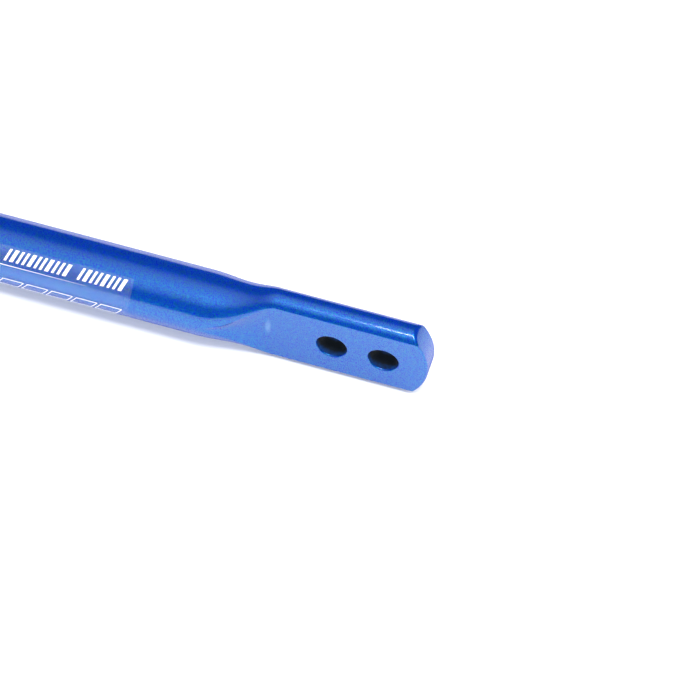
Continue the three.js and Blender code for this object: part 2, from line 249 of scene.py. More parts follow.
def shade(bm, sharp_angle):
    """Smooth shading with a hard edge wherever two faces meet at more than the angle."""
    bmesh.ops.remove_doubles(bm, verts=bm.verts, dist=1e-7)
    bmesh.ops.dissolve_degenerate(bm, dist=1e-7, edges=bm.edges)
    bmesh.ops.recalc_face_normals(bm, faces=bm.faces)
    for face in bm.faces:
        face.smooth = True
    for edge in bm.edges:
        edge.smooth = len(edge.link_faces) == 2 and edge.calc_face_angle(0) < math.radians(sharp_angle)


def weigh_normals(piece):
    """Lets large flat faces keep their own direction next to small roundings."""
    weighted = piece.modifiers.new("weighted normals", "WEIGHTED_NORMAL")
    weighted.keep_sharp = True
    weighted.weight = 100


def loft(bm, rings):
    """Quads between neighbouring closed rings of points. Gives back the rings of vertices."""
    made = [[bm.verts.new(point) for point in ring] for ring in rings]
    for here, beyond in zip(made, made[1:]):
        count = len(here)
        for i in range(count):
            j = (i + 1) % count
            bm.faces.new((here[i], here[j], beyond[j], beyond[i]))
    return made


def capped(bm, rings):
    """A closed solid: a loft with a face over each end."""
    made = loft(bm, rings)
    bm.faces.new(made[0])
    bm.faces.new(made[-1])


def turned(profile, centre, steps, shape=None):
    """A solid turned about Z from (radius, height) pairs. shape(angle, radius, index) may bend a radius."""
    bm = bmesh.new()
    rings = []
    for index, (radius, height) in enumerate(profile):
        ring = []
        for i in range(steps):
            angle = 2 * math.pi * i / steps
            r = shape(angle, radius, index) if shape else radius
            ring.append(centre + Vector((r * math.cos(angle), r * math.sin(angle), height)))
        rings.append(ring)
    capped(bm, rings)
    return bm


def hexagon(across_flats):
    """Radius of a hexagon at an angle."""
    def radius_at(angle):
        within = (angle + math.pi / 6) % (math.pi / 3) - math.pi / 6
        return across_flats / 2 / math.cos(within)
    return radius_at


def cut(piece, cutters):
    """Subtracts cutter meshes from a piece and keeps the result as the piece's own mesh."""
    for bm in cutters:
        bmesh.ops.recalc_face_normals(bm, faces=bm.faces)
        cutter = add_mesh("cutter", bm)
        boolean = piece.modifiers.new("cut", "BOOLEAN")
        boolean.operation = "DIFFERENCE"
        boolean.solver = "EXACT"
        boolean.object = cutter
        evaluated = piece.evaluated_get(bpy.context.evaluated_depsgraph_get())
        result = bpy.data.meshes.new_from_object(evaluated)
        piece.modifiers.remove(boolean)
        piece.data = result
        bpy.data.objects.remove(cutter)


def reshade(piece, sharp_angle):
    """Shades a piece again once it has been cut."""
    bm = bmesh.new()
    bm.from_mesh(piece.data)
    shade(bm, sharp_angle)
    bm.to_mesh(piece.data)
    bm.free()
    weigh_normals(piece)


def flared_hole(radius, flare, low, high, steps=64):
    """A round cutter along Z with a small chamfer where it leaves each face at low and high."""
    past = 2 * MM
    wide = radius + flare + past
    rows = [(wide, low - past), (radius, low + flare), (radius, high - flare), (wide, high + past)]
    return turned(rows, Vector((0, 0, 0)), steps)


def moved(bm, offset, stretch_y=0.0):
    """A cutter moved into place; stretch_y pulls its two halves apart along Y into a slot."""
    for vertex in bm.verts:
        if stretch_y:
            vertex.co.y += math.copysign(stretch_y / 2, vertex.co.y)
        vertex.co += offset
    return bm


# ---------------- material helpers

class Graph:
    """A material's node tree, built by short calls."""

    def __init__(self, name):
        self.material = bpy.data.materials.new(name)
        self.material.use_nodes = True
        self.tree = self.material.node_tree
        self.shader = self.tree.nodes["Principled BSDF"]

    def node(self, kind, settings=None, **inputs):
        node = self.tree.nodes.new(kind)
        for key, value in (settings or {}).items():
            setattr(node, key, value)
        for key, value in inputs.items():
            self.feed(node, key.replace("_", " "), value)
        return node

    def feed(self, node, socket, value):
        """Links or sets an input, given by its name, or by # and its number where names repeat."""
        target = node.inputs[int(socket[1:])] if socket[0] == "#" else node.inputs[socket]
        if isinstance(value, bpy.types.NodeSocket):
            self.tree.links.new(value, target)
        else:
            target.default_value = value

    def surface(self, **inputs):
        for key, value in inputs.items():
            self.feed(self.shader, key.replace("_", " "), value)
        return self.material

    def place(self):
        return self.node("ShaderNodeTexCoord").outputs["Object"]

    def noise(self, scale, detail, vector=None):
        node = self.node("ShaderNodeTexNoise", Vector=vector or self.place(), Scale=scale, Detail=detail)
        return node.outputs["Fac"]

    def maths(self, operation, first, second=None):
        node = self.node("ShaderNodeMath", {"operation": operation}, **{"#0": first})
        if second is not None:
            self.feed(node, "#1", second)
        return node.outputs["Value"]

    def vector_maths(self, operation, first, second=None, output="Vector"):
        node = self.node("ShaderNodeVectorMath", {"operation": operation}, **{"#0": first})
        if second is not None:
            self.feed(node, "#1", second)
        return node.outputs[output]

    def ramp(self, factor, stops):
        """A colour that runs between two (position, colour) stops."""
        node = self.node("ShaderNodeValToRGB", Fac=factor)
        marks = node.color_ramp.elements
        for mark, (position, color) in zip(marks, stops):
            mark.position = position
            mark.color = (*color, 1)
        return node.outputs["Color"]

    def span(self, value, low, high, start=0.0, end=1.0, kind="LINEAR"):
        """A number that goes from low to high as the value goes from start to end."""
        node = self.node("ShaderNodeMapRange", {"interpolation_type": kind}, Value=value)
        for socket, number in (("From Min", start), ("From Max", end), ("To Min", low), ("To Max", high)):
            self.feed(node, socket, number)
        return node.outputs["Result"]

    def fading_to_edge(self, start, low):
        """1 on surfaces seen squarely, falling to the low number where they turn edge-on."""
        facing = self.node("ShaderNodeLayerWeight", Blend=0.5).outputs["Facing"]
        return self.span(facing, 1.0, low, start, 1.0, "SMOOTHSTEP")

    def bump(self, height, distance, strength, normal=None):
        node = self.node("ShaderNodeBump", Height=height, Distance=distance, Strength=strength)
        if normal is not None:
            self.feed(node, "Normal", normal)
        return node.outputs["Normal"]

    def stretched(self, x, y, z):
        """Places scaled along each axis: a noise on them is drawn out where the scale is small."""
        return self.node("ShaderNodeMapping", Vector=self.place(), Scale=(x, y, z)).outputs["Vector"]

    def scattered_normal(self, cells_per_metre, tilt):
        """The surface normal, tilted a little in a different direction in each small cell, and a
        random colour for each cell."""
        cells = self.node("ShaderNodeTexVoronoi", Vector=self.place(), Scale=cells_per_metre)
        colour = cells.outputs["Color"]
        offset = self.vector_maths("SUBTRACT", colour, (0.5, 0.5, 0.5))
        scaled = self.vector_maths("MULTIPLY", offset, (tilt, tilt, tilt))
        surface = self.node("ShaderNodeNewGeometry").outputs["Normal"]
        return self.vector_maths("NORMALIZE", self.vector_maths("ADD", surface, scaled)), colour


def pale_neck_patch(g):
    """How strongly a paler, streaked patch of paint colour shows where the pressing die ended, on the outer
    side of each neck.
    """
    axes = g.node("ShaderNodeSeparateXYZ", Vector=g.place()).outputs
    mirrored = g.node("ShaderNodeCombineXYZ", X=g.maths("ABSOLUTE", axes["X"]), Y=axes["Y"], Z=axes["Z"])
    middle = Vector((ARM_X + BLADE_HALF, TIP_Y + BLADE_LENGTH + PALE_PATCH_BACK, AXIS_Z + PALE_PATCH_UP))
    offset = g.vector_maths("SUBTRACT", mirrored.outputs["Vector"], middle)
    shaped = g.vector_maths("MULTIPLY", offset, (1.0, 1.0, PALE_PATCH_SLIMNESS))
    reach = g.vector_maths("LENGTH", shaped, output="Value")
    streaks = g.noise(1400, 4, g.stretched(1, 1.6, 0.25))
    return g.maths("MULTIPLY", g.span(reach, 1.0, 0.0, 0.0, PALE_PATCH_REACH, "SMOOTHSTEP"), streaks)


def blue_flake_paint():
    """Deep blue base coat with pale aluminium flakes under a gloss clear coat."""
    g = Graph("blue flake paint")
    normal, cell = g.scattered_normal(FLAKES_PER_METRE, FLAKE_TILT)
    all_pigment, all_flake = FLAKE_SHARES
    peel = g.bump(g.noise(420, 1), 0.00003, 0.6)
    # The paint colour blends towards a paler blue in a small streaked patch on each neck.
    colour = g.node("ShaderNodeMix", {"data_type": "RGBA"}, Factor=pale_neck_patch(g))
    g.feed(colour, "#6", g.ramp(cell, [(all_pigment, PIGMENT_BLUE), (all_flake, FLAKE_BLUE)]))
    g.feed(colour, "#7", (*PALE_PATCH_BLUE, 1))
    return g.surface(
        Base_Color=colour.outputs[2],
        Metallic=g.ramp(cell, [(all_pigment, (0, 0, 0)), (all_flake, (1, 1, 1))]),
        Roughness=g.span(g.noise(60, 3), 0.36, 0.42),
        Specular_IOR_Level=0.0,
        Specular_Tint=(*EDGE_BLUE, 1),
        Normal=normal,
        Coat_Weight=g.fading_to_edge(0.62, 0.05),
        Coat_Roughness=0.12,
        Coat_IOR=1.55,
        Coat_Normal=g.bump(g.noise(45, 2), 0.0006, 0.35, peel),
    )


def hole_wall_shade():
    """Inside the link holes: painted shade, near black deep inside, with blue paint that thins from the
    rims towards the blade's middle.
    """
    g = Graph("hole wall painted shade")
    across = g.maths("ABSOLUTE", g.node("ShaderNodeSeparateXYZ", Vector=g.place()).outputs["X"])
    from_middle = g.maths("ABSOLUTE", g.maths("SUBTRACT", across, ARM_X))
    reach = g.span(from_middle, 0.0, 1.0, 0.25 * BLADE_HALF, BLADE_HALF)
    # The near-black deep in each hole is painted shade; the blue is paint reaching in from the rims.
    paint_over_shade = g.maths("MULTIPLY", reach, g.noise(700, 3))
    return g.surface(
        Base_Color=g.ramp(paint_over_shade, [(0.1, (0.006, 0.012, 0.02)), (0.5, (0.005, 0.06, 0.26))]),
        Metallic=0.3,
        Roughness=0.55,
        Specular_IOR_Level=0.25,
        Normal=g.bump(g.noise(1500, 3), 0.00008, 0.5),
    )


def moulded_polyurethane():
    """Black polyurethane with a fine moulded grain and a faint bloom."""
    g = Graph("moulded polyurethane")
    bloom = g.noise(90, 5)
    grain = g.bump(g.noise(2200, 3), 0.00006, 0.6)
    return g.surface(
        Base_Color=g.ramp(bloom, [(0.35, (0.011, 0.011, 0.013)), (0.75, (0.026, 0.026, 0.029))]),
        Roughness=g.span(bloom, 0.42, 0.6),
        Specular_IOR_Level=0.45,
        Normal=g.bump(g.noise(300, 2), 0.0001, 0.35, grain),
    )


def plated_steel(name, dark, light, roughness):
    """Zinc-plated pressed steel: cloudy brightness, faint rolling lines and a fine crystal grain."""
    g = Graph(name)
    cloud = g.noise(55, 6)
    lines = g.noise(900, 2, g.stretched(0.05, 1, 1))
    crystals = g.node("ShaderNodeTexVoronoi", Vector=g.place(), Scale=1500)
    normal = g.bump(crystals.outputs["Distance"], 0.00004, 0.25)
    return g.surface(
        Base_Color=g.ramp(cloud, [(0.3, dark), (0.7, light)]),
        Metallic=1.0,
        Roughness=g.span(cloud, roughness - 0.06, roughness + 0.08),
        Normal=g.bump(lines, 0.00003, 0.5, normal),
    )


def anodised_aluminium():
    """Turned aluminium with fine tool marks round the bar's axis, clear anodised."""
    g = Graph("anodised aluminium")
    marks = g.noise(2400, 2, g.stretched(1, 0.04, 0.04))
    cloud = g.noise(80, 4)
    return g.surface(
        Base_Color=g.ramp(cloud, [(0.3, (0.56, 0.57, 0.59)), (0.7, (0.66, 0.67, 0.69))]),
        Metallic=1.0,
        Roughness=g.span(marks, 0.26, 0.4),
        Normal=g.bump(marks, 0.00004, 0.6),
        Anisotropic=0.4,
    )


def black_oxide():
    """Oiled black-oxide steel with a slightly browned, uneven film."""
    g = Graph("black oxide")
    film = g.noise(400, 5)
    return g.surface(
        Base_Color=g.ramp(film, [(0.3, (0.018, 0.018, 0.02)), (0.75, (0.045, 0.042, 0.04))]),
        Metallic=0.8,
        Roughness=g.span(film, 0.28, 0.45),
        Normal=g.bump(g.noise(3000, 2), 0.00003, 0.5),
    )


def spring_steel():
    """Plain spring steel, lightly oiled, with drawing lines."""
    g = Graph("spring steel")
    stain = g.noise(500, 4)
    return g.surface(
        Base_Color=g.ramp(stain, [(0.3, (0.28, 0.28, 0.29)), (0.75, (0.45, 0.45, 0.46))]),
        Metallic=1.0,
        Roughness=g.span(stain, 0.25, 0.4),
        Normal=g.bump(g.noise(4000, 1), 0.00002, 0.5),
    )


def clear_film():
    """Thin clear vinyl: almost invisible, with a gloss of its own and slight waviness."""
    g = Graph("clear film")
    return g.surface(
        Base_Color=(0.80, 0.88, 1.0, 1),
        Alpha=g.span(g.noise(120, 3), 0.01, 0.04),
        Roughness=0.12,
        Normal=g.bump(g.noise(150, 2), 0.0002, 0.5),
    )


def white_ink_and_reflection_line():
    """Screen-printed ink, white, with a slightly uneven edge and thickness; the same material draws a
    painted reflection line.
    """
    g = Graph("white ink and painted reflection")
    grain = g.noise(1800, 3)
    return g.surface(
        Base_Color=g.ramp(grain, [(0.25, (0.80, 0.83, 0.88)), (0.6, (0.93, 0.95, 0.98))]),
        Roughness=g.span(grain, 0.3, 0.42),
        Normal=g.bump(grain, 0.00003, 0.4),
    )


def floor_paper():
    """Plain white studio paper."""
    g = Graph("floor paper")
    return g.surface(
        Base_Color=g.ramp(g.noise(6, 3), [(0.3, (0.93, 0.93, 0.93)), (0.7, (0.96, 0.96, 0.96))]),
        Roughness=0.9,
        Specular_IOR_Level=0.1,
    )


# ---------------- bar

def ease(t):
    """0 up to t = 0 and 1 from t = 1, with a smooth S between them."""
    t = min(max(t, 0.0), 1.0)
    return t * t * (3 - 2 * t)


def mix(a, b, share):
    """The value that lies a share of the way from a to b."""
    return a + (b - a) * share


def pressed(from_tip):
    """How far along the neck a place is: 0 on the tube and 1 on the blade."""
    return min(max((BLADE_LENGTH + NECK_LENGTH - from_tip) / NECK_LENGTH, 0.0), 1.0)


def thinning(from_tip):
    """How far the section has thinned, 0 to 1. It still thins a little where the blade starts."""
    u = pressed(from_tip)
    return mix(ease(u), u * u, NECK_FINAL_SLOPE)


def bar_section(from_tip, inset=0.0):
    """(across, up) points round the bar, from one crease over the top edge, down the far flat, under
    the bottom edge and up the near flat. The flats run a little further up the neck at mid-width."""
    thin = thinning(from_tip)
    half = mix(TUBE_R, BLADE_HALF, thin) - inset
    edge_r = mix(TUBE_R, BLADE_EDGE_R, thin) - inset
    half_width = mix(TUBE_R, BLADE_HALF_WIDTH, ease(pressed(from_tip) ** 2)) - inset
    edge_up = half_width - edge_r
    fillet = min(mix(NECK_CREASE_R, CREASE_R, ease(pressed(from_tip))), half * 0.9)
    turn = math.asin(min((half - fillet) / max(edge_r - fillet, 1e-9), 1.0))
    fillet_up = edge_up + (edge_r - fillet) * math.cos(turn)
    edge = []
    for i in range(ARC_STEPS + 1):
        angle = math.pi / 2 - math.pi * i / ARC_STEPS
        if abs(angle) <= turn:
            edge.append((edge_r * math.sin(angle), edge_up + edge_r * math.cos(angle)))
        else:
            side = math.copysign(half - fillet, angle)
            edge.append((side + fillet * math.sin(angle), fillet_up + fillet * math.cos(angle)))
    points = []
    for end in (1, -1):
        points += [(end * across, end * up) for across, up in edge]
        for i in range(1, FLAT_STEPS):
            v = 1 - 2 * i / FLAT_STEPS
            bulge = FLAT_BULGE * (1 - v * v) * ease(2 * pressed(from_tip))
            flat = mix(TUBE_R, BLADE_HALF, thinning(from_tip - bulge)) - inset
            points.append((-end * (flat + die_ridge(from_tip - bulge, end * v)), end * v * fillet_up))
    return points


def die_ridge(from_edge, v):
    """Height of the low ridge that the pressing die left round the end of each flat."""
    off = (from_edge - BLADE_LENGTH - RIDGE_WIDTH) / RIDGE_WIDTH
    swelling = 1 + 1.6 * math.exp(-((v - 0.35) / 0.16) ** 2)
    return RIDGE_HEIGHT * swelling * math.exp(-off * off) * (1 - v * v) ** 0.5


def half_route():
    """Stations (x, y, turn, distance from the tip) from mid-span to the start of the right blade."""
    x, y, turn = CENTRE_HALF, AXIS_Y, 0.0
    stations = [(x, y, turn, math.inf)]
    for bend, run in ((SHOULDER_BEND, SHOULDER_RUN), (ARM_BEND, 0.0)):
        steps = round(bend / BEND_STEP)
        for _ in range(steps):
            following = turn + bend / steps
            x += BEND_R * (math.sin(following) - math.sin(turn))
            y -= BEND_R * (math.cos(turn) - math.cos(following))
            turn = following
            stations.append((x, y, turn, math.inf))
        if run:
            x += run * math.cos(turn)
            y -= run * math.sin(turn)
            stations.append((x, y, turn, math.inf))
    for i in range(NECK_RINGS + 1):
        from_tip = BLADE_LENGTH + NECK_LENGTH * (1 - i / NECK_RINGS)
        stations.append((x, TIP_Y + from_tip, turn, from_tip))
    return stations


def tip_rings():
    """The blade's last rings, which follow the tip's arc and roll over into its end face."""
    rings = []
    for k in range(FILLET_STEPS + 1):
        angle = math.pi / 2 * k / FILLET_STEPS
        inset = TIP_FILLET * (1 - math.cos(angle))
        back = TIP_FILLET * (1 - math.sin(angle))
        ring = []
        for across, up in bar_section(0.0, inset):
            arc = TIP_R - math.sqrt(TIP_R**2 - up**2)
            ring.append(Vector((ARM_X + across, TIP_Y + arc + back, AXIS_Z + up)))
        rings.append(ring)
    return rings


def end_face(bm, ring):
    """Closes the tip with quads that run straight across its thickness."""
    half = ARC_STEPS // 2
    bottom = ARC_STEPS + FLAT_STEPS + half
    count = len(ring)
    far = [ring[i] for i in range(half, bottom + 1)]
    near = [ring[(half - i) % count] for i in range(len(far))]
    for j in range(len(far) - 1):
        corners = [far[j], far[j + 1], near[j + 1], near[j]]
        bm.faces.new(list(dict.fromkeys(corners)))


def blade_flats(bm, start, end):
    """Both flats of a blade: each is a plane outline with the two link holes left out, and the holes
    are joined through the blade with rounded rims."""
    count = len(start)
    rims = {}
    for side, first in ((-1, ARC_STEPS), (1, 2 * ARC_STEPS + FLAT_STEPS)):
        along = [(first + i) % count for i in range(FLAT_STEPS + 1)]
        edges = []
        for row in (start, end):
            for a, b in zip(along, along[1:]):
                edges.append(bm.edges.get((row[a], row[b])))
        for corner in (along[0], along[-1]):
            edges.append(bm.edges.get((start[corner], end[corner])))
        for from_tip in HOLES_FROM_TIP:
            rings = hole_rings(bm, side, from_tip)
            rims[side, from_tip] = rings
            outer = rings[0]
            edges += [bm.edges.new((a, b)) for a, b in zip(outer, outer[1:] + outer[:1])]
        bmesh.ops.triangle_fill(bm, edges=edges, use_beauty=True, normal=Vector((side, 0, 0)))
    for from_tip in HOLES_FROM_TIP:
        far, near = rims[1, from_tip], rims[-1, from_tip][::-1]
        wall = []
        for k in range(1, HOLE_WALL_RINGS):
            share = k / HOLE_WALL_RINGS
            wall.append([bm.verts.new(a.co.lerp(b.co, share)) for a, b in zip(far[-1], near[0])])
        path = far + wall + near
        for index, (here, beyond) in enumerate(zip(path, path[1:])):
            inside = len(far) - 1 <= index < len(far) + len(wall)
            for i in range(HOLE_STEPS):
                j = (i + 1) % HOLE_STEPS
                bm.faces.new((here[i], here[j], beyond[j], beyond[i])).material_index = int(inside)


def hole_rings(bm, side, from_tip):
    """Rings of vertices that roll from one face of the blade into a link hole."""
    rings = []
    for k in range(FILLET_STEPS + 1):
        angle = math.pi / 2 * k / FILLET_STEPS
        radius = HOLE_R + HOLE_ROUNDING * (1 - math.sin(angle))
        across = BLADE_HALF - HOLE_ROUNDING * (1 - math.cos(angle))
        ring = []
        for i in range(HOLE_STEPS):
            around = 2 * math.pi * i / HOLE_STEPS
            ring.append(bm.verts.new((
                ARM_X + side * across,
                TIP_Y + from_tip + radius * math.cos(around),
                AXIS_Z + radius * math.sin(around),
            )))
        rings.append(ring)
    return rings


def make_bar():
    """The bar: its right half is lofted and drilled, mirrored, and joined at mid-span."""
    bm = bmesh.new()
    rings = []
    for x, y, turn, from_tip in half_route():
        ring = []
        for across, up in bar_section(from_tip):
            ring.append(Vector((x + across * math.sin(turn), y + across * math.cos(turn), AXIS_Z + up)))
        rings.append(ring)
    made = loft(bm, rings)
    tip = loft(bm, tip_rings())
    start, end = made[-1], tip[0]
    count = len(start)
    flats = set(range(ARC_STEPS, ARC_STEPS + FLAT_STEPS)) | set(range(2 * ARC_STEPS + FLAT_STEPS, count))
    for i in range(count):
        if i not in flats:
            j = (i + 1) % count
            bm.faces.new((start[i], start[j], end[j], end[i]))
    blade_flats(bm, start, end)
    end_face(bm, tip[-1])

    copy = bmesh.ops.duplicate(bm, geom=bm.verts[:] + bm.edges[:] + bm.faces[:])
    for vertex in [item for item in copy["geom"] if isinstance(item, bmesh.types.BMVert)]:
        vertex.co.x = -vertex.co.x
    other = [copy["vert_map"][vertex] for vertex in made[0]]
    for i in range(count):
        j = (i + 1) % count
        bm.faces.new((other[i], other[j], made[0][j], made[0][i]))
    shade(bm, 20)
    piece = new_piece("painted_bar", bm, "bar", blue_flake_paint(), ["bar"])
    # The second material paints shade inside the link holes.
    piece.data.materials.append(hole_wall_shade())
    weigh_normals(piece)


make_bar()


# ---------------- mounts

def on_axis(x, y, z):
    """A place given from a point on the bar's axis, with y forwards and z up."""
    return Vector((x, AXIS_Y + y, AXIS_Z + z))


def rounded(from_end, radius):
    """How far an edge rounding of this radius draws in a face, at a distance from the end."""
    if from_end >= radius:
        return 0.0
    return radius - math.sqrt(radius**2 - (radius - from_end) ** 2)


def rounded_corners(steps):
    """For each corner of a rectangle: its signs, and (along, across) steps of a quarter turn."""
    for sx, sz in ((1, 1), (-1, 1), (-1, -1), (1, -1)):
        turns = [math.pi / 2 * i / steps for i in range(steps + 1)]
        quarter = [(math.cos(turn), math.sin(turn)) for turn in turns]
        yield sx, sz, quarter if sx * sz > 0 else [(b, a) for a, b in quarter]


def piecewise(marks, x):
    """Straight-line value at x between (place, value) marks."""
    for (x0, v0), (x1, v1) in zip(marks, marks[1:]):
        if x <= x1:
            return mix(v0, v1, (x - x0) / (x1 - x0))
    return marks[-1][1]


def bush_outline(radius, base_inset):
    """The bush's outside from the slit's upper lip, over the top and round its flat base to the lower."""
    lip = math.asin(SLIT_HALF / radius)
    points = []
    for i in range(BUSH_ARCH_STEPS + 1):
        angle = mix(lip, math.pi, i / BUSH_ARCH_STEPS)
        points.append((radius * math.cos(angle), radius * math.sin(angle)))
    base = -AXIS_Z + base_inset
    corner = BASE_ROUNDING
    for i in range(1, 6):
        points.append((-radius, mix(0, base + corner, i / 5)))
    for centre, start in ((-(radius - corner), math.pi), (radius - corner, 1.5 * math.pi)):
        for i in range(1, 7):
            angle = start + math.pi / 2 * i / 6
            points.append((centre + corner * math.cos(angle), base + corner + corner * math.sin(angle)))
        if centre < 0:
            shares = [i / BUSH_BASE_STEPS for i in range(1, BUSH_BASE_STEPS + 1)]
            points += [(mix(centre, -centre, share), base) for share in shares]
    for i in range(1, 6):
        points.append((radius, mix(base + corner, -SLIT_HALF, i / 5)))
    return points


def bush_profiles():
    """(place, outer radius, bore radius, base inset) from one end of the bush to the other."""
    half = bush_length / 2
    waist_end = half - SHOULDER_WIDTH
    outer = [
        (0, WAIST_R),
        (waist_end - 0.3 * MM, WAIST_R),
        (waist_end - 0.05 * MM, WAIST_R + 0.25 * MM),
        (waist_end, SHOULDER_R - 0.5 * MM),
        (waist_end + 0.5 * MM, SHOULDER_R),
        (half, SHOULDER_R),
    ]
    groove_r = BUSH_BORE_R + GROOVE_DEPTH
    bore = [
        (0, groove_r),
        (GROOVE_HALF, groove_r),
        (GROOVE_HALF + GROOVE_SLOPE, BUSH_BORE_R),
        (GROOVE_SPACING - GROOVE_HALF - GROOVE_SLOPE, BUSH_BORE_R),
        (GROOVE_SPACING - GROOVE_HALF, groove_r),
        (GROOVE_SPACING + GROOVE_HALF, groove_r),
        (GROOVE_SPACING + GROOVE_HALF + GROOVE_SLOPE, BUSH_BORE_R),
        (half - BORE_FLARE, BUSH_BORE_R),
        (half, BUSH_BORE_R + BORE_FLARE),
    ]
    places = {x for x, _ in outer + bore}
    places |= {half - BUSH_ROUNDING * (1 - math.cos(math.pi / 2 * k / 6)) for k in range(7)}
    rows = []
    for x in sorted(places):
        inset = rounded(half - x, BUSH_ROUNDING)
        rows.append((x, piecewise(outer, x) - inset, piecewise(bore, x), inset))
    mirrored = [(-x, *rest) for x, *rest in rows[:0:-1]]
    return mirrored + rows


def make_bush(side, centre_x, material):
    """A split bush on the bar, with grease grooves in its bore and a passage up to the nipple."""
    bm = bmesh.new()
    rings = []
    for x, outer_r, bore_r, inset in bush_profiles():
        outside = bush_outline(outer_r, inset)
        inside = []
        for y, z in reversed(outside):
            angle = math.atan2(z, y)
            inside.append((bore_r * math.cos(angle), bore_r * math.sin(angle)))
        lip = math.asin(SLIT_HALF / bore_r)
        inside[-1] = (bore_r * math.cos(lip), bore_r * math.sin(lip))
        inside[0] = (bore_r * math.cos(lip), -bore_r * math.sin(lip))
        rings.append([on_axis(centre_x + x, y, z) for y, z in outside + inside])
    made = loft(bm, rings)
    for ring in (made[0], made[-1]):
        count = len(ring)
        for i in range(count // 2 - 1):
            bm.faces.new((ring[i], ring[i + 1], ring[count - 2 - i], ring[count - 1 - i]))
    shade(bm, 32)
    piece = new_piece(f"moulded_bush_{side}", bm, f"{side}_mount", material,
                      [f"bush_{side}"])
    passage = turned(
        [(SHANK_HOLE_R, WAIST_R - 2.8 * MM), (SHANK_HOLE_R, SHOULDER_R + 5 * MM)],
        on_axis(centre_x, 0, 0),
        32,
    )
    cut(piece, [passage])
    reshade(piece, 32)


def strap_path():
    """(y, z, normal angle, distance from the nearer foot end) along the middle of the strap."""
    arch_r = SADDLE_R + STRAP_THICKNESS / 2
    foot_z = -AXIS_Z + STRAP_THICKNESS / 2
    bend_y, bend_z = arch_r + STRAP_BEND_R, foot_z + STRAP_BEND_R
    half = []
    run = FOOT_REACH - bend_y
    for i in range(33):
        along = run * (i / 32) ** 1.6
        half.append((FOOT_REACH - along, foot_z, math.pi / 2, along))
    for i in range(1, 25):
        angle = math.radians(270 - 90 * i / 24)
        place = run + STRAP_BEND_R * math.radians(90 * i / 24)
        y, z = bend_y + STRAP_BEND_R * math.cos(angle), bend_z + STRAP_BEND_R * math.sin(angle)
        half.append((y, z, angle - math.pi, place))
    place = half[-1][3]
    for i in range(1, 17):
        half.append((arch_r, mix(bend_z, 0, i / 16), 0.0, place - bend_z * i / 16))
    place = half[-1][3]
    for i in range(1, 33):
        angle = math.pi / 2 * i / 32
        half.append((arch_r * math.cos(angle), arch_r * math.sin(angle), angle, place + arch_r * angle))
    other = [(-y, z, math.pi - normal, place) for y, z, normal, place in half[-2::-1]]
    return half + other


def strap_section(half_width, half_thickness, gusset):
    """(across, out) points round the strap; gusset raises the middle of both faces."""
    r = min(STRAP_ROUNDING, half_thickness)
    points = []
    for sx, sz, quarter in rounded_corners(4):
        for a, b in quarter:
            points.append((sx * (half_width - r + r * a), sz * (half_thickness - r + r * b)))
        if sx * sz > 0:
            for i in range(1, 24):
                across = -sx * mix(-1, 1, i / 24) * (half_width - r)
                rise = gusset * math.exp(-((across / GUSSET_WIDTH) ** 2))
                points.append((across, sz * half_thickness + rise))
    return points


def make_saddle(side, centre_x, material):
    """A strap over the bush, with two drilled feet, dimpled bends and a hole for the nipple's shank."""
    bm = bmesh.new()
    bend_middle = FOOT_REACH - WAIST_R - STRAP_THICKNESS / 2 - STRAP_BEND_R + STRAP_BEND_R * math.pi / 4
    rings = []
    for y, z, normal, place in strap_path():
        half_width = STRAP_HALF - rounded(place, FOOT_CORNER_R)
        half_thickness = STRAP_THICKNESS / 2 - rounded(place, STRAP_ROUNDING)
        gusset = GUSSET_HEIGHT * math.exp(-(((place - bend_middle) / GUSSET_RUN) ** 2))
        out_y, out_z = math.cos(normal), math.sin(normal)
        rings.append([
            on_axis(centre_x + across, y + out * out_y, z + out * out_z)
            for across, out in strap_section(half_width, half_thickness, gusset)
        ])
    capped(bm, rings)
    shade(bm, 40)
    piece = new_piece(f"pressed_saddle_{side}", bm, f"{side}_mount", material,
                      [f"saddle_{side}"])
    foot = (-AXIS_Z, -AXIS_Z + STRAP_THICKNESS)
    cutters = [
        moved(flared_hole(BOLT_HOLE_R, 0.4 * MM, *foot), on_axis(centre_x, BOLT_REACH, 0)),
        moved(flared_hole(BOLT_HOLE_R, 0.4 * MM, *foot), on_axis(centre_x, -BOLT_REACH, 0), SLOT_TRAVEL),
        moved(flared_hole(SHANK_HOLE_R, 0.3 * MM, SADDLE_R, SADDLE_R + STRAP_THICKNESS, 32),
              on_axis(centre_x, 0, 0)),
    ]
    cut(piece, cutters)
    reshade(piece, 40)


